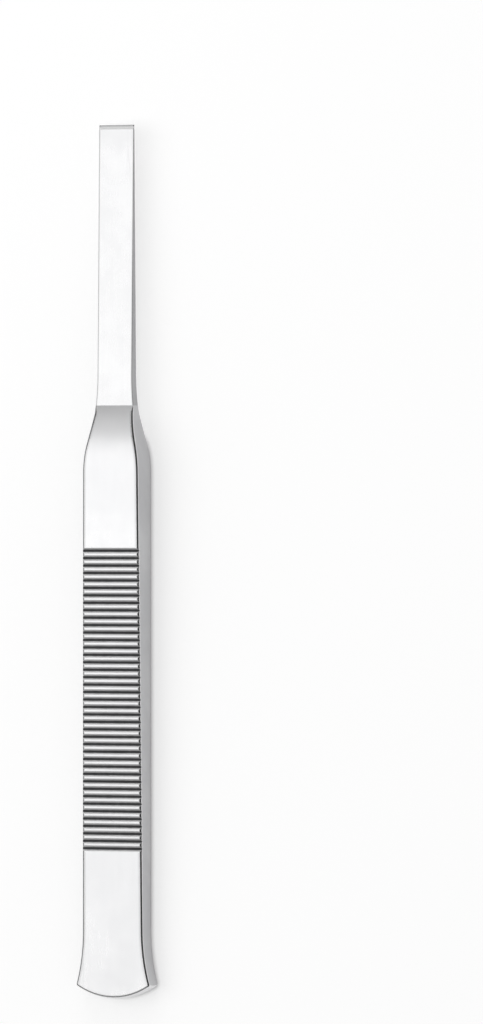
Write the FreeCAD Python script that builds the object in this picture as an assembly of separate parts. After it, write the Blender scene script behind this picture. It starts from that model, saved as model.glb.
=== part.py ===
import FreeCAD, Part
import math
import os

# A straight nasal osteotome, forged and ground from one bar of stainless steel.
# It has a thin wedge blade with square corners, a swelling neck, a flat handle
# with cross grooves on both broad faces, and a splayed head that takes the mallet.
#
# Sizes are in millimetres. The tool is shaped about its own mid-plane, then laid
# down as it rests on a table: on the handle's back face, with +Z up out of the
# front face and +Y along the tool towards the cutting edge. The origin is on the
# table under the middle of the tool's length.
# A station is a distance back from the cutting edge.

# Whole tool, from the cutting edge to the crown of the head
overall_length = 175.0

# Blade
blade_length = 56.2            # cutting edge to the crease at the shoulder
edge_width = 7.5               # across the cutting edge
blade_root_width = 7.4         # where the neck begins to swell
blade_tip_thickness = 0.3      # of the wedge at its tip, before honing
blade_root_thickness = 2.6     # at the crease
honed_bevel_length = 0.9       # of each of the two bevels that make the edge
blade_arris_round = 0.12       # the blade's four long corners

# Neck, the swell of the sides between blade and handle
neck_setback = 0.5             # crease to the corner of the swell's first bend
neck_length = 10.0             # between the corners of its two bends
neck_front_round = 60.0        # the long first bend, out of the blade
neck_rear_round = 27.0         # the tighter second bend, into the handle

# Shoulder, the ramp from the blade's faces up to the handle's
shoulder_length = 6.3          # crease to the corner where it meets the handle's face
shoulder_round = 33.0          # its long convex bend

# Handle
handle_front_width = 12.0      # at the corner of the neck's second bend
handle_rear_width = 13.15      # where the head begins to splay
handle_front_thickness = 7.63  # at the shoulder's corner
arris_round = 0.6              # the four long corners

# Grip, the cross grooves on both broad faces
grip_front_margin = 18.6       # corner of the neck's second bend to the first groove
grip_rear_margin = 30.1        # last groove to the crown of the head
groove_pitch = 1.49
groove_width = 0.8             # across the V, between its two ridges
groove_depth = 0.4
groove_root_width = 0.08       # the narrow flat at the foot of the V
ridge_fall = 0.04              # from the face down to a ridge, before it is rounded
ridge_round = 0.8              # domes both edges of each land between two grooves

# Head
head_width = 16.15             # across its corners
head_thickness = 4.7
splay_length = 5.8             # over which the head widens to its corners
splay_round = 42.0             # between the handle's side and the splayed head
crown_height = 2.5             # of the crown above the head's corners, across
crown_drop = 0.33              # of the crown from the mid-plane to the broad faces
rim_round = 0.3                # around the struck face

# Working allowances
stock_allowance = 4.0          # bar left past each end before it is finished
cutter_clearance = 1.0         # cutters run this far past the steel
ridge_flare = 0.045            # a groove's cutter opens to this height over the lands
flare_share = 0.98             # of half the pitch, where it reaches that height
buried_share = 0.7             # of the blade's root thickness, at the shoulder's hidden end
wall_share = 0.4               # of a wall's thickness, the most that one fillet takes
side_share = 0.98              # of a straight, the most that the arc after it takes
lead_share = 0.7               # of a straight, the most that the arc before it takes

X = FreeCAD.Vector(1, 0, 0)
Y = FreeCAD.Vector(0, 1, 0)
Z = FreeCAD.Vector(0, 0, 1)
ORIGIN = FreeCAD.Vector(0, 0, 0)

neck_front_station = blade_length + neck_setback
neck_rear_station = neck_front_station + neck_length
shoulder_station = blade_length + shoulder_length
head_station = overall_length - crown_height
splay_station = head_station - splay_length
front_stock_station = -stock_allowance
rear_stock_station = overall_length + stock_allowance

# Points of the outline seen from the side, as (station, half thickness)
blade_tip = (0, blade_tip_thickness / 2)
crease = (blade_length, blade_root_thickness / 2)
shoulder_corner = (shoulder_station, handle_front_thickness / 2)
head_corner = (head_station, head_thickness / 2)
shoulder_slope = (shoulder_corner[1] - crease[1]) / shoulder_length
face_slope = (shoulder_corner[1] - head_corner[1]) / (head_station - shoulder_station)

block_width = 2 * head_width
block_thickness = handle_front_thickness + 2 * cutter_clearance


def on_line(station, first, second):
    """Height at a station on the line through two (station, height) pairs."""
    rise = (second[1] - first[1]) / (second[0] - first[0])
    return first[1] + rise * (station - first[0])


def face_height(station):
    """Half the handle's thickness at a station."""
    return on_line(station, shoulder_corner, head_corner)


def at_station(station, x, z):
    """Point at a station, before the tool is laid down."""
    return FreeCAD.Vector(x, overall_length / 2 - station, z)


def rounded_path(corners):
    """Edges of an open path whose inner corners are rounded by tangent arcs.

    corners is a list of (point, radius). A radius that has no room beside its
    corner is cut down to the largest that fits.
    """
    points = [point for point, _ in corners]
    edges = []
    start = points[0]
    for (corner, radius), after in zip(corners[1:-1], points[2:]):
        back = start - corner
        forth = after - corner
        half_turn = (math.pi - back.getAngle(forth)) / 2
        room = min(side_share * back.Length, lead_share * forth.Length)
        reach = min(radius * math.tan(half_turn), room)
        rise = reach / math.tan(half_turn) * (1 / math.cos(half_turn) - 1)
        inward = back.normalize() + forth.normalize()
        enter = corner + back * reach
        leave = corner + forth * reach
        edges.append(Part.makeLine(start, enter))
        edges.append(Part.Arc(enter, corner + inward.normalize() * rise, leave).toShape())
        start = leave
    edges.append(Part.makeLine(start, points[-1]))
    return edges


def prism(edges, along, length):
    """Closed outline extruded by a length, half of it on each side."""
    outline = Part.Wire(Part.sortEdges(edges)[0])
    outline.translate(along * (-length / 2))
    return Part.Face(outline).extrude(along * length)


def symmetric_prism(corners, across, along, length):
    """Prism of an open outline and its mirror image in the plane normal to across."""
    half = rounded_path(corners)
    edges = half + [edge.mirror(ORIGIN, across) for edge in half]
    for end in (corners[0][0], corners[-1][0]):
        edges.append(Part.makeLine(end, end - across * (2 * end.dot(across))))
    return prism(edges, along, length)


def plan_blank():
    """Bar cut to the outline that the tool shows from the front."""
    neck_front = (neck_front_station, blade_root_width / 2)
    neck_rear = (neck_rear_station, handle_front_width / 2)
    splay = (splay_station, handle_rear_width / 2)
    front_width = on_line(front_stock_station, (0, edge_width / 2), neck_front)
    rear_width = on_line(rear_stock_station, splay, (head_station, head_width / 2))
    outline = [
        (front_stock_station, front_width, 0),
        (*neck_front, neck_front_round),
        (*neck_rear, neck_rear_round),
        (*splay, splay_round),
        (rear_stock_station, rear_width, 0),
    ]
    corners = [(at_station(station, x, 0), radius) for station, x, radius in outline]
    return symmetric_prism(corners, X, Z, block_thickness)


def side_blank(outline):
    """Bar cut to an outline of (station, half thickness, radius), seen from the side."""
    corners = [(at_station(station, 0, z), radius) for station, z, radius in outline]
    return symmetric_prism(corners, Z, X, block_width)


def lengthwise_edges(shape):
    """The edges that run along the tool more than across it."""
    found = []
    for edge in shape.Edges:
        run = edge.Vertexes[-1].Point - edge.Vertexes[0].Point
        if abs(run.y) > run.Length / 2:
            found.append(edge)
    return found


def make_handle():
    """Handle, neck and shoulder, with their long corners eased.

    The shoulder's ramp runs on inside the blade, where it ends blunt.
    """
    buried_height = buried_share * crease[1]
    buried_station = blade_length - (crease[1] - buried_height) / shoulder_slope
    blank = plan_blank().common(side_blank([
        (buried_station, buried_height, 0),
        (*shoulder_corner, shoulder_round),
        (rear_stock_station, face_height(rear_stock_station), 0),
    ]))
    arris = min(arris_round, wall_share * 2 * buried_height)
    return blank.makeFillet(arris, lengthwise_edges(blank))


def make_blade():
    """Wedge blade with its long corners eased, before its edge is honed.

    Its root runs back inside the shoulder, to where the eased corners cover it.
    """
    tip_station = -honed_bevel_length
    root_station = blade_length + 2 * arris_round / shoulder_slope
    tip_height = on_line(tip_station, blade_tip, crease)
    root_height = on_line(root_station, blade_tip, crease)
    outline = [(tip_station, tip_height, 0), (root_station, root_height, 0)]
    blank = plan_blank().common(side_blank(outline))
    arris = min(blade_arris_round, wall_share * 2 * tip_height)
    return blank.makeFillet(arris, lengthwise_edges(blank))


def honed(tool):
    """The tool with two bevels ground on the blade's tip, to one sharp edge."""
    edge = (0, 0)
    bevel_end = (honed_bevel_length, on_line(honed_bevel_length, blade_tip, crease))
    outline = [
        (-stock_allowance, on_line(-stock_allowance, edge, bevel_end)),
        bevel_end,
        (honed_bevel_length, block_thickness),
        (-stock_allowance, block_thickness),
    ]
    points = [at_station(station, 0, z) for station, z in outline]
    wheel = prism(Part.makePolygon(points + points[:1]).Edges, X, block_width)
    return tool.cut([wheel, wheel.mirror(ORIGIN, Z)])


def crowned(tool):
    """The tool with its struck face turned to a barrel, bowed across and through."""
    bow_across = ((head_width / 2) ** 2 + crown_height ** 2) / (2 * crown_height)
    bow_through = ((head_thickness / 2) ** 2 + crown_drop ** 2) / (2 * crown_drop)
    reach = head_thickness / 2 + cutter_clearance
    shallow = bow_across - bow_through + math.sqrt(bow_through ** 2 - reach ** 2)
    centre = at_station(overall_length - bow_across, 0, 0)
    low = centre + X * shallow - Z * reach
    high = centre + X * shallow + Z * reach
    meridian = Part.Wire([
        Part.makeLine(centre - Z * reach, low),
        Part.Arc(low, centre + X * bow_across, high).toShape(),
        Part.makeLine(high, centre + Z * reach),
        Part.makeLine(centre + Z * reach, centre - Z * reach),
    ])
    barrel = Part.Face(meridian).revolve(centre, Z, 360)
    block_length = bow_across + 2 * stock_allowance
    block_corner = centre - FreeCAD.Vector(block_width / 2, block_length, reach)
    block = Part.makeBox(block_width, block_length, 2 * reach, block_corner)
    tool = tool.cut(block.cut(barrel))
    struck_face = min(tool.Faces, key=lambda face: face.CenterOfMass.y)
    return tool.makeFillet(min(rim_round, arris_round / 2), struck_face.Edges)


def groove_cutter():
    """Cutter for one cross groove, over a face at height 0."""
    corners = [
        (FreeCAD.Vector(0, groove_root_width / 2, -groove_depth), 0),
        (FreeCAD.Vector(0, groove_width / 2, -ridge_fall), ridge_round),
        (FreeCAD.Vector(0, flare_share * groove_pitch / 2, ridge_flare), 0),
    ]
    return symmetric_prism(corners, Y, X, block_width)


def grooved(tool):
    """The tool with its grip of cross grooves cut in both broad faces."""
    cutter = groove_cutter()
    cutter.rotate(ORIGIN, X, math.degrees(math.atan(face_slope)))
    first_station = neck_rear_station + grip_front_margin
    grip_length = overall_length - grip_rear_margin - first_station
    cutters = []
    for index in range(round(grip_length / groove_pitch) + 1):
        station = first_station + index * groove_pitch
        front = cutter.translated(at_station(station, 0, face_height(station)))
        cutters += [front, front.mirror(ORIGIN, Z)]
    return tool.cut(cutters)


def laid_down(tool):
    """The tool turned and lifted so that the handle's back face lies on the table."""
    tilt = math.atan(face_slope)
    tool.rotate(ORIGIN, X, math.degrees(tilt))
    return tool.translated(Z * (face_height(overall_length / 2) * math.cos(tilt)))


osteotome = make_handle().fuse(make_blade()).removeSplitter().Solids[0]
osteotome = laid_down(grooved(crowned(honed(osteotome)))).Solids[0]

os.makedirs("parts", exist_ok=True)
osteotome.exportStep("parts/osteotome.step")
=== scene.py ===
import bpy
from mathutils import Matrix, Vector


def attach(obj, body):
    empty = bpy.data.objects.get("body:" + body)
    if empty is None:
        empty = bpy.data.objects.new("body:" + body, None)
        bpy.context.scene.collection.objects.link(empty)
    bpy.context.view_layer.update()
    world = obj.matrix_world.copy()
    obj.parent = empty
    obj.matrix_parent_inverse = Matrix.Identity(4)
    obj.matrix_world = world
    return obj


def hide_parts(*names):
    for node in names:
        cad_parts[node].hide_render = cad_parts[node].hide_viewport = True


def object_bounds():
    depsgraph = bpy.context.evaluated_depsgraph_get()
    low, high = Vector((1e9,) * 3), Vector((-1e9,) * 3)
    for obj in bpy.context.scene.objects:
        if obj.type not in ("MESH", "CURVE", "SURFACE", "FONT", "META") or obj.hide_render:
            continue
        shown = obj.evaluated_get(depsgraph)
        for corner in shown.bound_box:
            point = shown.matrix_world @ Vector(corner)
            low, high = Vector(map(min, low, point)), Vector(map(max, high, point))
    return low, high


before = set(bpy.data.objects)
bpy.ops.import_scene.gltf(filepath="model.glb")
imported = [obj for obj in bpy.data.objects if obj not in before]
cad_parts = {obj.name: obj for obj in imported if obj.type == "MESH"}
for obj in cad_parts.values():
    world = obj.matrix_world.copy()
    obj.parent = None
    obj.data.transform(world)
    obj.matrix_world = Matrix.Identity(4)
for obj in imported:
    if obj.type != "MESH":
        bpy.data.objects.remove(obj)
CAD_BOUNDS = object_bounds()

"""Looks of a straight nasal osteotome lying on a pale studio floor.

The tool is one bar of stainless steel, so the scene builds it as one lofted mesh
that stands for the solid: a wedge blade with a honed edge, a swelling neck, a flat
handle with cross grooves on both broad faces, and a splayed head with a crowned
struck face. Everything is in metres, in the frame of the solid: +Y along the tool
towards the cutting edge, +Z up out of the handle's front face.

A station is a distance back from the cutting edge. A height is half a thickness
or half a width, measured from the tool's own mid-planes.
"""

import logging
import math
from dataclasses import dataclass, field
from enum import Enum

import bmesh
import bpy
import numpy as np
from mathutils import Matrix, Vector

MM = 0.001
NODE = "osteotome"
BODY = "root"
BAKE_MAP = "OFBake"

log = logging.getLogger("osteotome")
Array = np.ndarray
Color = tuple[float, float, float]


class Zone(Enum):
    """Parts of the surface with a finish of their own, in the order of the slots."""

    HANDLE = 0
    BLADE = 1
    EDGE = 2
    GRIP = 3
    CROWN = 4
    SIDE = 5
    BLADE_SIDE = 6


@dataclass(frozen=True)
class Corner:
    """One point of a profile: its station, its height and the arc that rounds it."""

    station: float
    height: float
    radius: float = 0.0


class Profile:
    """A height along the tool: straight runs joined by tangent arcs."""

    SHARE_BEFORE = 0.98
    SHARE_AFTER = 0.7

    def __init__(self, *corners: Corner) -> None:
        """Works out the arc at each inner corner.

        Args:
            corners: the profile's points, by rising station.
        """
        self.stations = [corner.station for corner in corners]
        self.heights = [corner.height for corner in corners]
        self.arcs: list[tuple[float, float, Vector, float]] = []
        points = [Vector((corner.station, corner.height)) for corner in corners]
        start = points[0]
        for corner, point, after in zip(corners[1:-1], points[1:-1], points[2:]):
            back = start - point
            forth = after - point
            start = point
            if corner.radius > 0:
                start = self._round(corner, point, back, forth)

    def _round(self, corner: Corner, point: Vector, back: Vector, forth: Vector) -> Vector:
        """Adds the arc of one corner.

        Args:
            corner: the corner, with its radius.
            point: the corner as a point.
            back: from the point to the end of the arc before it.
            forth: from the point to the next point.

        Returns:
            The point where the arc ends.
        """
        half_turn = (math.pi - back.angle(forth)) / 2
        room = min(self.SHARE_BEFORE * back.length, self.SHARE_AFTER * forth.length)
        reach = min(corner.radius * math.tan(half_turn), room)
        radius = reach / math.tan(half_turn)
        inward = (back.normalized() + forth.normalized()).normalized()
        centre = point + inward * (radius / math.cos(half_turn))
        enter = point + back.normalized() * reach
        leave = point + forth.normalized() * reach
        side = math.copysign(radius, point.y - centre.y)
        self.arcs.append((enter.x, leave.x, centre, side))
        return leave

    def at(self, station: Array) -> Array:
        """Looks up heights along the profile.

        Args:
            station: the stations, in an array of any shape.

        Returns:
            The height at each station.
        """
        height = np.interp(station, self.stations, self.heights)
        for enter, leave, centre, side in self.arcs:
            rise = np.sqrt(np.maximum(side**2 - (station - centre.x) ** 2, 0))
            inside = (station > enter) & (station < leave)
            height = np.where(inside, centre.y + math.copysign(1, side) * rise, height)
        return height


@dataclass(frozen=True)
class Blade:
    """Wedge blade, honed to a straight edge, with a painted dark line along that edge."""

    length: float = 56.2 * MM
    edge_width: float = 7.5 * MM
    root_width: float = 7.4 * MM
    tip_thickness: float = 0.3 * MM
    root_thickness: float = 2.6 * MM
    bevel_length: float = 0.9 * MM
    arris_round: float = 0.105 * MM
    # Length of the painted dark line along the cutting edge.
    lip_length: float = 0.15 * MM

    def face(self, station: float) -> float:
        """Height of the blade's flat at a station, as if it weren't honed."""
        share = station / self.length
        return (self.tip_thickness + share * (self.root_thickness - self.tip_thickness)) / 2

    def bevel(self) -> Profile:
        """Height that the honing leaves, from nothing at the edge."""
        slope = self.face(self.bevel_length) / self.bevel_length
        return Profile(Corner(0, 0), Corner(1, slope))


@dataclass(frozen=True)
class Neck:
    """Swell of the sides and ramp of the faces between blade and handle."""

    setback: float = 0.5 * MM
    length: float = 10.0 * MM
    front_round: float = 60.0 * MM
    rear_round: float = 27.0 * MM
    ramp_length: float = 6.3 * MM
    ramp_round: float = 33.0 * MM
    arris_blend: float = 1.7 * MM


@dataclass(frozen=True)
class Grip:
    """Cross grooves on both broad faces of the handle."""

    first_station: float = 85.3 * MM
    count: int = 41
    pitch: float = 1.49 * MM
    width: float = 0.8 * MM
    depth: float = 0.4 * MM
    root_width: float = 0.08 * MM
    root_round: float = 0.07 * MM
    ridge_fall: float = 0.04 * MM
    ridge_round: float = 0.8 * MM
    flare: float = 0.045 * MM
    flare_share: float = 0.98

    # Where the rings lie on a groove's rounds, as shares of each round's radius.
    ROOT_STEPS = (-0.45, -0.1, 0.3)
    RIDGE_SPAN = (-0.22, 0.255)
    RIDGE_RINGS = 6

    @property
    def start(self) -> float:
        """Station of the middle of the plain land before the first groove."""
        return self.first_station - self.pitch / 2

    @property
    def end(self) -> float:
        """Station of the middle of the plain land after the last groove."""
        return self.start + self.count * self.pitch

    def wall(self) -> Profile:
        """Shapes half a groove and the land beside it.

        Returns:
            The height of the face against the distance from a groove's middle.
        """
        half_pitch = self.pitch / 2
        return Profile(
            Corner(-half_pitch, -self.depth),
            Corner(self.root_width / 2, -self.depth, self.root_round),
            Corner(self.width / 2, -self.ridge_fall, self.ridge_round),
            Corner(self.flare_share * half_pitch, self.flare),
        )

    def depth_at(self, station: Array) -> Array:
        """Finds the grooves' depth.

        Args:
            station: the stations, in an array of any shape.

        Returns:
            How far the surface lies under the plain face at each station.
        """
        offset = (station - self.start) % self.pitch - self.pitch / 2
        height = np.minimum(self.wall().at(np.abs(offset)), 0)
        return np.where((station > self.start) & (station < self.end), -height, 0)

    def stations(self) -> Array:
        """Spaces the grip's rings: close on the rounds, few on the flats.

        Returns:
            The stations of the rings of all grooves.
        """
        half_root = self.root_width / 2
        half_width = self.width / 2
        half_pitch = self.pitch / 2
        root_arc = half_root + self.root_round * np.array(self.ROOT_STEPS)
        ridge_steps = np.linspace(*self.RIDGE_SPAN, self.RIDGE_RINGS)
        ridge_arc = half_width + self.ridge_round * ridge_steps
        walls = [(root_arc[-1] + ridge_arc[0]) / 2]
        land = [(ridge_arc[-1] + half_pitch) / 2, half_pitch]
        half = np.concatenate([root_arc, walls, ridge_arc, land])
        one = np.concatenate([-half[::-1], [0], half])
        middles = self.first_station + self.pitch * np.arange(self.count)
        return (middles[:, None] + one[None, :]).ravel()


@dataclass(frozen=True)
class Handle:
    """Flat handle that tapers in thickness towards the head and widens slightly."""

    front_width: float = 12.0 * MM
    rear_width: float = 13.15 * MM
    front_thickness: float = 7.63 * MM
    arris_round: float = 0.6 * MM


@dataclass(frozen=True)
class Head:
    """Splayed head with a struck face that is bowed across and through."""

    width: float = 16.15 * MM
    thickness: float = 4.7 * MM
    splay_length: float = 5.8 * MM
    splay_round: float = 42.0 * MM
    crown_height: float = 2.5 * MM
    crown_drop: float = 0.33 * MM
    rim_round: float = 0.3 * MM
    bow_length: float = 12.0 * MM


class RingPoints:
    """The points of one ring around the tool, as shares of its side, arris and face.

    Each of the four quarters runs from the middle of a side to the middle of a face.
    The first step onto the face is a narrow margin, where the corner's mark fades out.
    """

    SIDE = 3
    ARRIS = 7
    FACE = 7
    MARGIN = 0.06

    def __init__(self) -> None:
        """Works out the shares and signs of every point."""
        side = np.arange(self.SIDE) / self.SIDE
        arris = np.linspace(0, 1, self.ARRIS + 1)
        face = np.linspace(0, 1, self.FACE)
        face[0] = self.MARGIN
        up = np.concatenate([side, np.ones(arris.size + face.size)])
        round_ = np.concatenate([np.zeros(side.size), arris, np.ones(face.size)])
        across = np.concatenate([np.zeros(side.size + arris.size), face])
        self.up = self._around(up)
        self.round = self._around(round_)
        self.across = self._around(across)
        quarter = up.size - 1
        self.sign_x = np.repeat([1, -1, -1, 1], quarter)
        self.sign_z = np.repeat([1, 1, -1, -1], quarter)
        self.sign_x[[quarter, 3 * quarter]] = 0
        self.sign_z[[0, 2 * quarter]] = 0
        self.count = self.up.size

    @staticmethod
    def _around(quarter: Array) -> Array:
        """Repeats a quarter's values around the ring.

        Args:
            quarter: one value for each point from a side's middle to a face's middle.

        Returns:
            One value for each point of the ring.
        """
        there = quarter[:-1]
        back = quarter[:0:-1]
        return np.concatenate([there, back, there, back])


@dataclass
class Osteotome:
    """The whole tool as one mesh, lofted from rings around its axis."""

    overall_length: float = 175.0 * MM
    blade: Blade = field(default_factory=Blade)
    neck: Neck = field(default_factory=Neck)
    grip: Grip = field(default_factory=Grip)
    handle: Handle = field(default_factory=Handle)
    head: Head = field(default_factory=Head)

    WELD = 1e-7
    CRISP_ANGLE = math.radians(25)
    BEVEL_STEPS = (0, 0.06, 0.2, 0.45, 0.72, 1)
    BLADE_RINGS = 30
    SWELL_RINGS = 26
    NECK_RINGS = 60
    FRONT_RINGS = 14
    HEEL_RINGS = 20
    BOW_RINGS = 34
    CROWN_RINGS = 9
    RIM_STEPS = (0.2, 0.4, 0.6, 0.8)
    # How much of the corner's mark, and with it the painted shade, is left where the corner
    # meets the face.
    MARGIN_SHADE = 0.5
    # Rounds of nearing that settle where a bowed ring meets the struck face.
    BOW_ROUNDS = 12

    def __post_init__(self) -> None:
        """Works out the profiles and the crown from the sizes."""
        blade, neck, handle, head = self.blade, self.neck, self.handle, self.head
        self.ring = RingPoints()
        self.bevel = blade.bevel()
        swell = blade.length + neck.setback
        ramp_end = blade.length + neck.ramp_length
        self.corner_station = self.overall_length - head.crown_height
        splay = self.corner_station - head.splay_length
        past = 2 * self.overall_length - self.corner_station
        flare = (head.width - handle.rear_width) / 2 / head.splay_length
        self.plan = Profile(
            Corner(0, blade.edge_width / 2),
            Corner(swell, blade.root_width / 2, neck.front_round),
            Corner(swell + neck.length, handle.front_width / 2, neck.rear_round),
            Corner(splay, handle.rear_width / 2, head.splay_round),
            Corner(past, handle.rear_width / 2 + flare * (past - splay)),
        )
        self.taper = (handle.front_thickness - head.thickness) / 2
        self.taper /= self.corner_station - ramp_end
        self.side = Profile(
            Corner(0, blade.tip_thickness / 2),
            Corner(blade.length, blade.root_thickness / 2),
            Corner(ramp_end, handle.front_thickness / 2, neck.ramp_round),
            Corner(past, handle.front_thickness / 2 - self.taper * (past - ramp_end)),
        )
        half_width = head.width / 2
        half_thickness = head.thickness / 2
        height, drop = head.crown_height, head.crown_drop
        self.bow_across = (half_width**2 + height**2) / (2 * height)
        self.bow_through = (half_thickness**2 + drop**2) / (2 * drop)

    def arris_round(self, station: Array) -> Array:
        """Finds the radius of the long corners, which grows over the start of the ramp.

        Args:
            station: the stations, in an array of any shape.

        Returns:
            The radius at each station.
        """
        share = np.clip((station - self.blade.length) / self.neck.arris_blend, 0, 1)
        share = share * share * (3 - 2 * share)
        slim = self.blade.arris_round
        return slim + share * (self.handle.arris_round - slim)

    def section(self, station: Array) -> tuple[Array, Array]:
        """Places the points of a ring whose every point may have its own station.

        Args:
            station: one station for each point of the ring.

        Returns:
            The points' places across and through the tool.
        """
        ring = self.ring
        radius = self.arris_round(station)
        face = self.side.at(station)
        top = np.minimum(face - self.grip.depth_at(station), self.bevel.at(station))
        spring = face - radius
        limit = np.arcsin(np.clip((top - spring) / radius, 0, 1))
        angle = limit * ring.round
        x = self.plan.at(station) - radius * (1 - np.cos(angle))
        z = np.minimum(spring, top) * ring.up + radius * np.sin(angle)
        return x * (1 - ring.across) * ring.sign_x, z * ring.sign_z

    def crown(self, x: Array, z: Array) -> Array:
        """Finds the struck face.

        Args:
            x: places across the tool.
            z: places through the tool.

        Returns:
            The station of the struck face at each place.
        """
        drop = self.bow_through - np.sqrt(self.bow_through**2 - z**2)
        reach = np.sqrt((self.bow_across - drop) ** 2 - x**2)
        return self.overall_length - self.bow_across + reach

    def body_stations(self) -> Array:
        """Spaces the flat rings, from the cutting edge to the plain heel.

        Returns:
            The rings' stations, each one once.
        """
        blade, neck, grip = self.blade, self.neck, self.grip
        bevel = blade.bevel_length * np.array(self.BEVEL_STEPS)
        swell_start = blade.length - neck.length
        bend_end = blade.length + 1.5 * neck.length
        runs = [
            bevel,
            np.linspace(blade.bevel_length, swell_start, self.BLADE_RINGS),
            np.linspace(swell_start, blade.length, self.SWELL_RINGS),
            np.linspace(blade.length, bend_end, self.NECK_RINGS),
            np.linspace(bend_end, grip.start, self.FRONT_RINGS),
            grip.stations(),
            np.linspace(grip.end, self.bow_start, self.HEEL_RINGS),
        ]
        return np.unique(np.round(np.concatenate(runs), 9))

    @property
    def bow_start(self) -> float:
        """Station where the rings begin to bow towards the struck face."""
        return self.overall_length - self.head.bow_length

    def bowed(self, share: float) -> Array:
        """Bows a ring towards the struck face.

        Args:
            share: 0 for a flat ring at the start, 1 for the rim of the struck face.

        Returns:
            One station for each point of the ring.
        """
        station = np.full(self.ring.count, self.corner_station)
        for _ in range(self.BOW_ROUNDS):
            x, z = self.section(station)
            station = self.bow_start + share * (self.crown(x, z) - self.bow_start)
        return station

    def rim_and_crown(self) -> list[Array]:
        """Shapes the rounded rim and the struck face inside it.

        Returns:
            The rings from the rim to the mid-line of the struck face.
        """
        station = self.bowed(1.0)
        rim = np.stack([*self.section(station), station])
        below_station = station - self.head.rim_round
        below = np.stack([*self.section(below_station), below_station])
        keep = self.head.width / 2 - self.head.thickness / 2
        heart = np.stack([np.clip(rim[0], -keep, keep), np.zeros_like(rim[0])])
        spread = rim[:2] - heart
        inset = self.head.rim_round / np.linalg.norm(spread, axis=0)
        x, z = heart + spread * (1 - inset)
        above = np.stack([x, z, self.crown(x, z)])
        rings = [below]
        for step in self.RIM_STEPS:
            rings.append((1 - step) ** 2 * below + 2 * step * (1 - step) * rim + step**2 * above)
        for share in np.linspace(0, 1, self.CROWN_RINGS):
            x, z = heart + spread * (1 - inset) * (1 - share)
            rings.append(np.stack([x, z, self.crown(x, z)]))
        return rings

    def rings(self) -> Array:
        """Shapes the whole skin.

        Returns:
            All rings, as ring by point by (across, through, station).
        """
        stations = self.body_stations()
        rings = []
        for station in stations:
            flat = np.full(self.ring.count, station)
            rings.append(np.stack([*self.section(flat), flat]))
        rim_share = 1 - 0.6 * self.head.rim_round / self.head.bow_length
        for share in np.linspace(0, rim_share, self.BOW_RINGS)[1:-1]:
            bowed = self.bowed(share)
            rings.append(np.stack([*self.section(bowed), bowed]))
        rings += self.rim_and_crown()
        return np.stack(rings).transpose(0, 2, 1)

    def laid_down(self, rings: Array) -> Array:
        """Lays the tool down with the handle's back face on the floor.

        Args:
            rings: the rings' points as (across, through, station).

        Returns:
            The same points as (x, y, z) in the frame.
        """
        tilt = math.atan(self.taper)
        x, z, station = rings[..., 0], rings[..., 1], rings[..., 2]
        y = self.overall_length / 2 - station
        middle = self.handle.front_thickness / 2
        ramp_end = self.blade.length + self.neck.ramp_length
        middle -= self.taper * (self.overall_length / 2 - ramp_end)
        lift = middle * math.cos(tilt)
        turned_y = y * math.cos(tilt) - z * math.sin(tilt)
        turned_z = y * math.sin(tilt) + z * math.cos(tilt) + lift
        return np.stack([x, turned_y, turned_z], axis=-1)

    def zones(self, rings: Array) -> Array:
        """Chooses the finishes.

        Args:
            rings: the rings' points as (across, through, station).

        Returns:
            The number of the finish of each quad, as ring by point.
        """
        stations = rings[..., 2]
        middle = (stations[:-1] + stations[1:]) / 2
        middle = (middle + np.roll(middle, -1, axis=1)) / 2
        zone = np.full(middle.shape, Zone.HANDLE.value)
        zone[middle < self.blade.length] = Zone.BLADE.value
        zone[middle < self.blade.bevel_length] = Zone.EDGE.value
        turned = self.ring.round + np.roll(self.ring.round, -1)
        in_grip = (middle > self.grip.start) & (middle < self.grip.end)
        zone[in_grip & (turned == 2)[None, :]] = Zone.GRIP.value
        on_side = (turned < 1)[None, :]
        zone[on_side & (middle > self.blade.bevel_length)] = Zone.BLADE_SIDE.value
        zone[on_side & (middle > self.blade.length)] = Zone.SIDE.value
        zone[-self.CROWN_RINGS:] = Zone.CROWN.value
        return zone

    def build(self) -> bpy.types.Object:
        """Lofts the mesh.

        Returns:
            The tool as a smooth mesh with its marks, its zones and its bake map.
        """
        rings = self.rings()
        count, points = rings.shape[:2]
        first = np.arange(points)
        after = np.roll(first, -1)
        starts = points * np.arange(count - 1)[:, None]
        quads = np.stack(
            [starts + first, starts + after, starts + points + after, starts + points + first],
            axis=-1,
        ).reshape(-1, 4)
        mesh = bpy.data.meshes.new("osteotome_body")
        mesh.from_pydata(self.laid_down(rings).reshape(-1, 3).tolist(), [], quads.tolist())
        mesh.polygons.foreach_set("material_index", self.zones(rings).ravel())
        self._mark(mesh, rings)
        self._lay_out_map(mesh, rings)
        self._finish_mesh(mesh, count * points, points, rings)
        body = bpy.data.objects.new("osteotome_body", mesh)
        bpy.context.scene.collection.objects.link(body)
        log.info("lofted %d rings of %d points", count, points)
        return body

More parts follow.
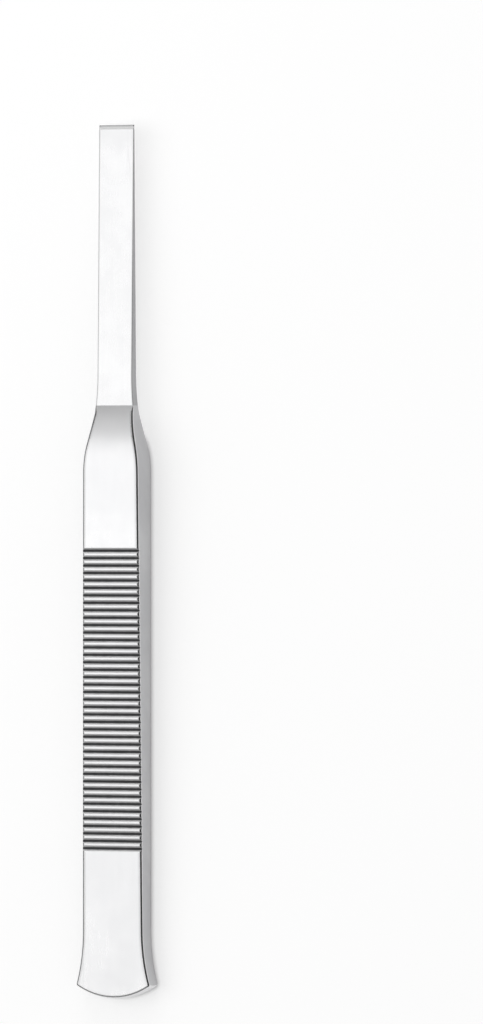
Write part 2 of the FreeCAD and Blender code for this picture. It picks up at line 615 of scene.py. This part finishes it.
    def _mark(self, mesh: bpy.types.Mesh, rings: Array) -> None:
        """Stores two marks at each vertex, for the finishes to shade by.

        One says how deep in a groove it lies. The other says how far round a long corner it
        lies, fades out over a narrow band of the face beside it, and is also 1 along the lip of
        the cutting edge and the rim. The finishes paint shade and rubbed brightness by it.

        Args:
            mesh: the lofted mesh.
            rings: the rings that it was lofted from.
        """
        stations = rings[..., 2]
        on_face = self.ring.round == 1
        groove = self.grip.depth_at(stations) / self.grip.depth * on_face
        # A narrow band of painted shade where each corner meets the face.
        margin_shade = self.MARGIN_SHADE * (on_face & (self.ring.across == 0))
        arris = np.maximum(np.sin(math.pi * self.ring.round), margin_shade)
        arris = arris * np.ones_like(stations)
        # Painted shade along the cutting edge: the mark is 1 over the lip and then fades out.
        lip = 1 - np.clip(stations / self.blade.lip_length - 1, 0, 1)
        arris = np.where(stations < self.blade.bevel_length, np.maximum(arris, lip), arris)
        # The rim's rings take the full mark, which paints a line of shade round the rim of the
        # struck face.
        arris[-self.CROWN_RINGS - len(self.RIM_STEPS):-self.CROWN_RINGS] = 1
        arris[-self.CROWN_RINGS:] = 0
        for name, value in (("groove", groove), ("arris", arris)):
            attribute = mesh.attributes.new(name, "FLOAT", "POINT")
            attribute.data.foreach_set("value", value.astype(np.float32).ravel())

    def _lay_out_map(self, mesh: bpy.types.Mesh, rings: Array) -> None:
        """Lays the skin out flat as a bake map of four panels, two by two.

        Args:
            mesh: the lofted mesh.
            rings: the rings that it was lofted from.
        """
        panels, margin = 2, 0.01
        count, points = rings.shape[:2]
        sample = rings[count // 2]
        around = np.linalg.norm(sample - np.roll(sample, -1, axis=0), axis=1)
        around = np.concatenate([[0], np.cumsum(around)]) / around.sum()
        middle = np.argmin(np.abs(rings[0, :, 0]) - rings[0, :, 1])
        steps = np.linalg.norm(np.diff(rings[:, middle], axis=0), axis=1)
        along = np.concatenate([[0], np.cumsum(steps)]) / steps.sum()
        panel = np.minimum(along[:-1] * panels**2, panels**2 - 1).astype(int)
        low = np.array([along[:-1][panel == p].min() for p in range(panels**2)])
        high = np.array([along[1:][panel == p].max() for p in range(panels**2)])
        span = (high - low)[panel]
        v0 = (along[:-1] - low[panel]) / span
        v1 = (along[1:] - low[panel]) / span
        u0 = np.broadcast_to(around[:-1], (count - 1, points))
        u1 = np.broadcast_to(around[1:], (count - 1, points))
        v0 = np.broadcast_to(v0[:, None], u0.shape)
        v1 = np.broadcast_to(v1[:, None], u0.shape)
        corners = np.stack([u0, v0, u1, v0, u1, v1, u0, v1], axis=-1)
        corners = corners.reshape(count - 1, points, 4, 2)
        corners = margin + (1 - 2 * margin) * corners
        offset = np.stack([panel % panels, panel // panels], axis=-1)
        corners = (corners + offset[:, None, None, :]) / panels
        layer = mesh.uv_layers.new(name=BAKE_MAP)
        layer.data.foreach_set("uv", corners.astype(np.float32).ravel())

    def _finish_mesh(
        self, mesh: bpy.types.Mesh, total: int, points: int, rings: Array
    ) -> None:
        """Marks the crisp edges, then welds the cutting edge and the crown's mid-line.

        Args:
            mesh: the lofted mesh.
            total: how many vertices it has.
            points: how many of them lie on one ring.
            rings: the rings that it was lofted from.
        """
        stations = rings[:, 0, 2]
        crisp_at = (self.blade.bevel_length, self.blade.length)
        crisp = {int(np.argmin(np.abs(stations - station))) for station in crisp_at}
        bm = bmesh.new()
        bm.from_mesh(mesh)
        for edge in bm.edges:
            ring_a, ring_b = (vertex.index // points for vertex in edge.verts)
            sharp = ring_a == ring_b and ring_a in crisp
            edge.smooth = not (sharp or edge.calc_face_angle(0) > self.CRISP_ANGLE)
        for face in bm.faces:
            face.smooth = True
        bmesh.ops.remove_doubles(bm, verts=bm.verts, dist=self.WELD)
        bmesh.ops.dissolve_degenerate(bm, edges=bm.edges, dist=self.WELD)
        bmesh.ops.recalc_face_normals(bm, faces=bm.faces)
        log.info("welded %d of %d vertices", total - len(bm.verts), total)
        bm.to_mesh(mesh)
        bm.free()


class Bench:
    """A node tree with short calls to add and join its nodes."""

    def __init__(self, tree: bpy.types.NodeTree) -> None:
        """Takes the tree to work on."""
        self.tree = tree

    def add(self, kind: str, **settings: object) -> bpy.types.Node:
        """A new node.

        Args:
            kind: the node's type, without the word ShaderNode before it.
            settings: the node's own options.

        Returns:
            The node.
        """
        node = self.tree.nodes.new("ShaderNode" + kind)
        for name, value in settings.items():
            setattr(node, name, value)
        return node

    def join(self, source: bpy.types.NodeSocket, target: bpy.types.NodeSocket) -> None:
        """Links an output to an input."""
        self.tree.links.new(source, target)

    def feed(self, socket: bpy.types.NodeSocket, value: object) -> None:
        """Links a socket to an input, or sets the input's plain value.

        Args:
            socket: the input.
            value: another node's output, or a plain value.
        """
        if isinstance(value, bpy.types.NodeSocket):
            self.join(value, socket)
        else:
            socket.default_value = value

    def math(self, operation: str, *values: object) -> bpy.types.NodeSocket:
        """Works on numbers.

        Args:
            operation: the Math node's operation.
            values: links or plain numbers.

        Returns:
            The result.
        """
        node = self.add("Math", operation=operation)
        for socket, value in zip(node.inputs, values):
            self.feed(socket, value)
        return node.outputs[0]

    def vector(self, operation: str, *values: object) -> bpy.types.NodeSocket:
        """Works on vectors.

        Args:
            operation: the Vector Math node's operation.
            values: links or plain vectors.

        Returns:
            The result.
        """
        node = self.add("VectorMath", operation=operation)
        for socket, value in zip(node.inputs, values):
            self.feed(socket, value)
        return node.outputs[0]

    def ramp(self, value: object, low: object, high: object) -> bpy.types.NodeSocket:
        """Steps smoothly from 0 to 1.

        Args:
            value: the value to step on.
            low: where the result is 0.
            high: where the result is 1.

        Returns:
            The result.
        """
        node = self.add("MapRange", interpolation_type="SMOOTHSTEP")
        self.feed(node.inputs["Value"], value)
        self.feed(node.inputs["From Min"], low)
        self.feed(node.inputs["From Max"], high)
        return node.outputs["Result"]

    def noise(self, vector: object, scale: float, detail: float = 2.0) -> bpy.types.NodeSocket:
        """Adds a noise.

        Args:
            vector: the coordinates.
            scale: how many of its features lie in one unit of them.
            detail: how many finer layers it has.

        Returns:
            A value about 0.5.
        """
        node = self.add("TexNoise")
        self.feed(node.inputs["Vector"], vector)
        node.inputs["Scale"].default_value = scale
        node.inputs["Detail"].default_value = detail
        return node.outputs[0]

    def mix(self, share: object, first: object, second: object) -> bpy.types.NodeSocket:
        """Mixes two colours.

        Args:
            share: how much of the second, as a link or a number.
            first: a link or a plain colour.
            second: a link or a plain colour.

        Returns:
            The colour between them.
        """
        node = self.add("Mix", data_type="RGBA")
        self.feed(node.inputs["Factor"], share)
        self.feed(node.inputs["A"], first)
        self.feed(node.inputs["B"], second)
        for socket in node.outputs:
            if socket.enabled:
                return socket
        raise LookupError("a Mix node has no output in use")


class Effects:
    """The node groups that the steel's finishes share."""

    def __init__(self) -> None:
        """Builds each group once."""
        self.grain = self._grain()
        self.hairlines = self._hairlines()
        self.drift = self._drift()
        self.burnish = self._burnish()
        self.residue_and_shade = self._residue_and_shade()

    @staticmethod
    def _group(
        name: str, inputs: dict[str, str], outputs: list[str]
    ) -> tuple[Bench, bpy.types.Node, bpy.types.Node]:
        """An empty node group.

        Args:
            name: the group's name.
            inputs: kind of socket by name, as Float or Vector.
            outputs: names of its values.

        Returns:
            The group's bench, its input node and its output node.
        """
        tree = bpy.data.node_groups.new(name, "ShaderNodeTree")
        for label, kind in inputs.items():
            tree.interface.new_socket(label, in_out="INPUT", socket_type="NodeSocket" + kind)
        for label in outputs:
            tree.interface.new_socket(label, in_out="OUTPUT", socket_type="NodeSocketFloat")
        source = tree.nodes.new("NodeGroupInput")
        sink = tree.nodes.new("NodeGroupOutput")
        return Bench(tree), source, sink

    def _grain(self) -> bpy.types.NodeTree:
        """Fine lines of a drawn satin finish, long one way and short the others.

        Returns:
            The group, which puts out a height about 0.5.
        """
        bench, source, sink = self._group(
            "drawn_grain", {"Place": "Vector", "Mark": "Vector"}, ["Height"]
        )
        scaled = bench.vector("DIVIDE", source.outputs["Place"], source.outputs["Mark"])
        fine = bench.noise(scaled, scale=1.0, detail=3.0)
        stretched = bench.vector("MULTIPLY", scaled, (0.31, 0.5, 0.31))
        coarse = bench.noise(stretched, scale=1.0, detail=1.0)
        height = bench.math("MULTIPLY_ADD", coarse, 0.45, bench.math("MULTIPLY", fine, 0.55))
        bench.join(height, sink.inputs["Height"])
        return bench.tree

    def _hairlines(self) -> bpy.types.NodeTree:
        """Sparse hair-thin scratches, lying nearly one way.

        Returns:
            The group, which puts out 1 on a scratch.
        """
        bench, source, sink = self._group(
            "hairlines", {"Place": "Vector", "Mark": "Vector", "Share": "Float"}, ["Mask"]
        )
        scaled = bench.vector("DIVIDE", source.outputs["Place"], source.outputs["Mark"])
        bend = bench.noise(scaled, scale=0.22, detail=1.0)
        bent = bench.vector("ADD", scaled, bend)
        cells = bench.add("TexVoronoi", feature="DISTANCE_TO_EDGE")
        bench.join(bent, cells.inputs["Vector"])
        cells.inputs["Scale"].default_value = 1.0
        line = bench.ramp(cells.outputs["Distance"], low=0.05, high=0.0)
        patch = bench.noise(scaled, scale=0.37, detail=0.0)
        edge = bench.math("SUBTRACT", 0.72, source.outputs["Share"])
        shown = bench.ramp(patch, edge, bench.math("ADD", edge, 0.08))
        bench.join(bench.math("MULTIPLY", line, shown), sink.inputs["Mask"])
        return bench.tree

    def _drift(self) -> bpy.types.NodeTree:
        """Slow change of tone over centimetres, from polishing and handling.

        Returns:
            The group, which puts out 0 where bright and 1 where dull.
        """
        bench, source, sink = self._group("tone_drift", {"Place": "Vector"}, ["Mask"])
        slow = bench.noise(source.outputs["Place"], scale=55.0)
        cloud = bench.noise(source.outputs["Place"], scale=310.0, detail=3.0)
        both = bench.math("MULTIPLY_ADD", cloud, 0.35, bench.math("MULTIPLY", slow, 0.65))
        bench.join(bench.ramp(both, low=0.36, high=0.64), sink.inputs["Mask"])
        return bench.tree

    def _burnish(self) -> bpy.types.NodeTree:
        """Bright rubbed steel along the long corners, broken up a little.

        Returns:
            The group, which puts out 1 where the steel is rubbed.
        """
        bench, source, sink = self._group(
            "corner_burnish", {"Place": "Vector", "Arris": "Float"}, ["Mask"]
        )
        broken = bench.noise(source.outputs["Place"], scale=420.0)
        wide = bench.math("MULTIPLY_ADD", broken, 0.6, source.outputs["Arris"])
        bench.join(bench.ramp(wide, low=0.55, high=1.25), sink.inputs["Mask"])
        return bench.tree

    def _residue_and_shade(self) -> bpy.types.NodeTree:
        """Dull unpolished steel and painted shade towards the foot of the grooves.

        Returns:
            The group, which puts out 1 where the steel is dull.
        """
        bench, source, sink = self._group(
            "groove_residue_and_shade", {"Place": "Vector", "Groove": "Float"}, ["Mask"]
        )
        patchy = bench.noise(source.outputs["Place"], scale=900.0)
        level = bench.math("MULTIPLY_ADD", patchy, 0.25, source.outputs["Groove"])
        bench.join(bench.ramp(level, low=0.2, high=0.95), sink.inputs["Mask"])
        return bench.tree


@dataclass(frozen=True)
class SteelFinish:
    """One finish of the stainless bar.

    The mark sizes are a grain line's reach along X, Y and Z. Depths are in metres.
    Spread is how far the grain varies the roughness. Residue and shade is how dark the
    feet of the grooves get, partly as dull steel and partly as painted shade. Corner shade
    is how dark the painted shade along the marked corners gets. Both run from 0 to 1.
    """

    name: str
    color: Color
    dull: Color
    roughness: float
    spread: float
    mark: tuple[float, float, float]
    grain_depth: float
    hairline_mark: tuple[float, float, float] = (1.5 * MM, 24 * MM, 1.5 * MM)
    hairline_share: float = 0.06
    residue_and_shade: float = 0.0
    corner_shade: float = 0.0

    BRIGHT = (0.86, 0.86, 0.865, 1.0)
    # Near-black tone of the painted shade on the corners and the cutting edge, and of the
    # residue and painted shade in the grooves.
    SHADE_AND_RESIDUE_TONE = (0.055, 0.055, 0.058, 1.0)
    BURNISH_TONE = 0.6
    BURNISH_POLISH = 0.3
    HAIRLINE_ROUGHNESS = 0.08
    FILM_ROUGHNESS = 0.25

    def material(self, effects: Effects) -> bpy.types.Material:
        """The finish as a material.

        Args:
            effects: the node groups that all finishes share.

        Returns:
            The material.
        """
        material = bpy.data.materials.new(self.name)
        material.use_nodes = True
        bench = Bench(material.node_tree)
        steel = material.node_tree.nodes["Principled BSDF"]
        steel.inputs["Metallic"].default_value = 1.0
        place = bench.add("TexCoord").outputs["Object"]
        grain = self._effect(bench, effects.grain, Place=place, Mark=self.mark)
        hair = self._effect(
            bench,
            effects.hairlines,
            Place=place,
            Mark=self.hairline_mark,
            Share=self.hairline_share,
        )
        drift = self._effect(bench, effects.drift, Place=place)
        arris = bench.add("Attribute", attribute_name="arris").outputs["Fac"]
        burnish = self._effect(bench, effects.burnish, Place=place, Arris=arris)
        tone = bench.mix(drift, (*self.color, 1), (*self.dull, 1))
        rubbed = bench.math("MULTIPLY", burnish, self.BURNISH_TONE)
        tone = bench.mix(rubbed, tone, self.BRIGHT)
        rough = bench.math("MULTIPLY_ADD", grain, self.spread, self.roughness - self.spread / 2)
        rough = bench.math("MULTIPLY_ADD", drift, self.spread / 2, rough)
        polish = -self.BURNISH_POLISH * self.roughness
        rough = bench.math("MULTIPLY_ADD", burnish, polish, rough)
        rough = bench.math("MULTIPLY_ADD", hair, self.HAIRLINE_ROUGHNESS, rough)
        # Painted shade along the marked corners, the lip of the cutting edge and the rim of the
        # struck face.
        if self.corner_shade > 0:
            shade = bench.math("MULTIPLY", arris, self.corner_shade)
            tone = bench.mix(shade, tone, self.SHADE_AND_RESIDUE_TONE)
        # Partly dull residue and partly painted shade, darkest at the feet of the grooves.
        if self.residue_and_shade > 0:
            groove = bench.add("Attribute", attribute_name="groove").outputs["Fac"]
            film_and_shade = self._effect(bench, effects.residue_and_shade, Place=place, Groove=groove)
            tone = bench.mix(bench.math("MULTIPLY", film_and_shade, self.residue_and_shade), tone, self.SHADE_AND_RESIDUE_TONE)
            rough = bench.math("MULTIPLY_ADD", film_and_shade, self.FILM_ROUGHNESS, rough)
        bench.join(tone, steel.inputs["Base Color"])
        bench.join(rough, steel.inputs["Roughness"])
        bump = bench.add("Bump")
        bump.inputs["Strength"].default_value = 1.0
        bump.inputs["Distance"].default_value = self.grain_depth
        bench.join(grain, bump.inputs["Height"])
        bench.join(bump.outputs["Normal"], steel.inputs["Normal"])
        return material

    @staticmethod
    def _effect(
        bench: Bench, tree: bpy.types.NodeTree, **values: object
    ) -> bpy.types.NodeSocket:
        """Places a shared group in a material.

        Args:
            bench: the material's bench.
            tree: the group.
            values: what each of its inputs takes.

        Returns:
            The group's output.
        """
        node = bench.add("Group", node_tree=tree)
        for name, value in values.items():
            bench.feed(node.inputs[name], value)
        return node.outputs[0]


STEEL: Color = (0.80, 0.80, 0.805)
WORN_STEEL: Color = (0.785, 0.786, 0.794)

FINISHES: dict[Zone, SteelFinish] = {
    Zone.HANDLE: SteelFinish(
        name="satin_handle_steel",
        color=STEEL,
        dull=WORN_STEEL,
        roughness=0.27,
        spread=0.08,
        mark=(0.22 * MM, 12 * MM, 0.22 * MM),
        grain_depth=0.0012 * MM,
        corner_shade=0.45,
    ),
    Zone.BLADE: SteelFinish(
        name="ground_blade_steel",
        color=(0.77, 0.77, 0.775),
        dull=(0.745, 0.745, 0.752),
        roughness=0.26,
        spread=0.07,
        mark=(0.19 * MM, 15 * MM, 0.19 * MM),
        grain_depth=0.0008 * MM,
        corner_shade=0.85,
    ),
    # Honed and polished steel whose colour is raised above the blade's as a painted highlight;
    # its corner shade paints a dark line along the cutting edge.
    Zone.EDGE: SteelFinish(
        name="honed_edge_steel",
        color=(0.86, 0.86, 0.865),
        dull=(0.84, 0.84, 0.845),
        roughness=0.2,
        spread=0.05,
        mark=(1.5 * MM, 0.03 * MM, 0.03 * MM),
        grain_depth=0.0008 * MM,
        hairline_share=0.0,
        corner_shade=0.4,
    ),
    Zone.GRIP: SteelFinish(
        name="milled_grip_steel",
        color=STEEL,
        dull=WORN_STEEL,
        roughness=0.3,
        spread=0.08,
        mark=(0.22 * MM, 12 * MM, 0.22 * MM),
        grain_depth=0.002 * MM,
        residue_and_shade=0.9,
    ),
    # Shaded copy of the blade's steel: its darker colour and its corner shade are painted shade;
    # its higher roughness is its own ground finish.
    Zone.BLADE_SIDE: SteelFinish(
        name="ground_side_steel_painted_shade",
        color=(0.4, 0.4, 0.408),
        dull=(0.36, 0.36, 0.37),
        roughness=0.34,
        spread=0.1,
        mark=(0.1 * MM, 3.5 * MM, 0.1 * MM),
        grain_depth=0.003 * MM,
        corner_shade=0.6,
    ),
    # Shaded copy of the handle's steel: its darker colour is painted shade; its higher roughness
    # is its own matt finish.
    Zone.SIDE: SteelFinish(
        name="matt_side_steel_painted_shade",
        color=(0.56, 0.56, 0.567),
        dull=(0.52, 0.52, 0.53),
        roughness=0.36,
        spread=0.1,
        mark=(0.1 * MM, 3.5 * MM, 0.1 * MM),
        grain_depth=0.003 * MM,
    ),
    Zone.CROWN: SteelFinish(
        name="struck_crown_steel",
        color=(0.76, 0.76, 0.768),
        dull=(0.7, 0.7, 0.71),
        roughness=0.33,
        spread=0.12,
        mark=(0.5 * MM, 0.5 * MM, 0.09 * MM),
        grain_depth=0.004 * MM,
        hairline_mark=(1.6 * MM, 1.6 * MM, 0.8 * MM),
        hairline_share=0.2,
    ),
}


@dataclass(frozen=True)
class SoftBox:
    """A rectangular lamp that faces the tool.

    It leans from straight up by two angles in degrees, towards +X and towards +Y.
    """

    name: str
    lean_x: float
    lean_y: float
    distance: float
    width: float
    length: float
    radiance: float

    def direction(self) -> Vector:
        """Unit vector from the tool to the lamp."""
        lean_x, lean_y = math.radians(self.lean_x), math.radians(self.lean_y)
        return Vector((math.tan(lean_x), math.tan(lean_y), 1)).normalized()

    def place(self) -> None:
        """Adds the lamp to the scene."""
        data = bpy.data.lights.new(self.name, "AREA")
        data.shape = "RECTANGLE"
        data.size = self.width
        data.size_y = self.length
        data.energy = self.radiance * math.pi * self.width * self.length
        lamp = bpy.data.objects.new(self.name, data)
        towards = self.direction()
        turn = towards.to_track_quat("Z", "Y").to_matrix().to_4x4()
        lamp.matrix_world = Matrix.Translation(towards * self.distance) @ turn
        lamp.visible_camera = False
        bpy.context.scene.collection.objects.link(lamp)


@dataclass(frozen=True)
class Flag:
    """A dark card that stands upright beside the set and shows only in the steel."""

    name: str
    centre: tuple[float, float, float]
    height: float
    length: float
    shade: float = 0.1

    def place(self) -> None:
        """Adds the card to the scene, upright and along the tool."""
        half_height, half_length = self.height / 2, self.length / 2
        corners = [
            (0, -half_length, -half_height),
            (0, half_length, -half_height),
            (0, half_length, half_height),
            (0, -half_length, half_height),
        ]
        mesh = bpy.data.meshes.new(self.name)
        mesh.from_pydata(corners, [], [(0, 1, 2, 3)])
        material = bpy.data.materials.new(self.name)
        material.use_nodes = True
        cloth = material.node_tree.nodes["Principled BSDF"]
        cloth.inputs["Base Color"].default_value = (self.shade,) * 3 + (1,)
        cloth.inputs["Roughness"].default_value = 1.0
        mesh.materials.append(material)
        card = bpy.data.objects.new(self.name, mesh)
        card.location = self.centre
        card.visible_camera = False
        card.visible_shadow = False
        card.visible_diffuse = False
        bpy.context.scene.collection.objects.link(card)


@dataclass
class Studio:
    """Floor, lamps, cards and the camera of the picture."""

    floor_half: float = 4.0
    floor_color: float = 0.74
    floor_glow: float = 0.5
    contact_reach: float = 0.8 * MM
    surround: float = 0.42
    lens: float = 300.0
    sensor: float = 36.0
    picture_scale: float = 4.992
    picture_height: float = 1024
    picture_width: float = 483
    axis_pixel_x: float = 116.4
    middle_pixel_y: float = 561.7
    yaw: float = 21.16
    lamps: tuple[SoftBox, ...] = (
        SoftBox("key_box", -23, 2.5, 1.0, 0.64, 1.5, 0.94),
        SoftBox("slope_box", -20, 34, 1.1, 0.7, 0.2, 0.44),
        SoftBox("edge_box", 0, 66, 1.1, 0.9, 0.5, 1.0),
    )
    flags: tuple[Flag, ...] = (
        Flag("right_flag", (0.4, 0, 0.95), 1.8, 2.4),
        Flag("left_flag", (-1.3, 0, 0.72), 1.3, 2.4),
    )

    def build(self, tool: Osteotome) -> None:
        """Sets up everything around the tool.

        Args:
            tool: the tool's sizes.
        """
        self._floor()
        self._surround()
        for item in (*self.lamps, *self.flags):
            item.place()
        self._camera(tool)
        bpy.context.scene.view_settings.view_transform = "Standard"
        log.info("studio: %d lamps, %d flags", len(self.lamps), len(self.flags))

    def _floor(self) -> None:
        """A pale matt floor that shows white and keeps the tool's shadow.

        Its glow is only seen, and lights nothing. The glow dims close to the tool, which
        leaves a fine line of contact shadow.
        """
        half = self.floor_half
        mesh = bpy.data.meshes.new("studio_floor")
        corners = [(-half, -half, 0), (half, -half, 0), (half, half, 0), (-half, half, 0)]
        mesh.from_pydata(corners, [], [(0, 1, 2, 3)])
        material = bpy.data.materials.new("pale_floor")
        material.use_nodes = True
        bench = Bench(material.node_tree)
        paper = material.node_tree.nodes["Principled BSDF"]
        paper.inputs["Base Color"].default_value = (self.floor_color,) * 3 + (1,)
        paper.inputs["Roughness"].default_value = 0.9
        paper.inputs["Specular IOR Level"].default_value = 0.0
        rays = bench.add("LightPath").outputs
        seen = bench.math("MAXIMUM", rays["Is Camera Ray"], rays["Is Glossy Ray"])
        seen = bench.math("MAXIMUM", seen, rays["Is Transmission Ray"])
        paper.inputs["Emission Color"].default_value = (1, 1, 1, 1)
        open_floor = bench.add("AmbientOcclusion", samples=16)
        open_floor.inputs["Distance"].default_value = self.contact_reach
        seen = bench.math("MULTIPLY", seen, open_floor.outputs["AO"])
        glow = bench.math("MULTIPLY", seen, self.floor_glow)
        bench.join(glow, paper.inputs["Emission Strength"])
        mesh.materials.append(material)
        floor = bpy.data.objects.new("studio_floor", mesh)
        bpy.context.scene.collection.objects.link(floor)

    def _surround(self) -> None:
        """Even grey light from all around."""
        world = bpy.data.worlds.new("studio_surround")
        world.use_nodes = True
        background = world.node_tree.nodes["Background"]
        background.inputs["Color"].default_value = (self.surround,) * 3 + (1,)
        bpy.context.scene.world = world

    def _camera(self, tool: Osteotome) -> None:
        """The camera, turned about the tool's axis as in the picture.

        Args:
            tool: the tool's sizes.
        """
        tilt = math.atan(tool.taper)
        yaw = math.radians(self.yaw)
        along = Vector((0, math.cos(tilt), math.sin(tilt)))
        normal = Vector((0, -math.sin(tilt), math.cos(tilt)))
        across = Vector((1, 0, 0))
        right = across * math.cos(yaw) - normal * math.sin(yaw)
        back = across * math.sin(yaw) + normal * math.cos(yaw)
        pixel = MM / self.picture_scale
        distance = self.picture_height * pixel * self.lens / self.sensor
        low, high = CAD_BOUNDS
        middle = Vector((0, 0, 0.5 * (low[2] + high[2])))
        target = middle + right * (self.picture_width / 2 - self.axis_pixel_x) * pixel
        target += along * (self.middle_pixel_y - self.picture_height / 2) * pixel
        data = bpy.data.cameras.new("picture_camera")
        data.lens = self.lens
        data.sensor_width = self.sensor
        data.clip_end = 20.0
        camera = bpy.data.objects.new("picture_camera", data)
        turn = Matrix((right, along, back)).transposed().to_4x4()
        camera.matrix_world = Matrix.Translation(target + back * distance) @ turn
        bpy.context.scene.collection.objects.link(camera)
        bpy.context.scene.camera = camera


def dress(tool: Osteotome) -> bpy.types.Object:
    """Builds the tool and gives each zone its finish.

    Args:
        tool: the tool's sizes.

    Returns:
        The finished piece, which rides with the part.
    """
    body = tool.build()
    effects = Effects()
    for zone in Zone:
        body.data.materials.append(FINISHES[zone].material(effects))
    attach(body, BODY)
    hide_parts(NODE)
    log.info("%s: %d faces", body.name, len(body.data.polygons))
    return body


def main() -> None:
    """Builds the tool, then the studio."""
    logging.basicConfig(level=logging.INFO, format="%(name)s: %(message)s")
    tool = Osteotome()
    dress(tool)
    Studio().build(tool)


if __name__ == "__main__":
    main()
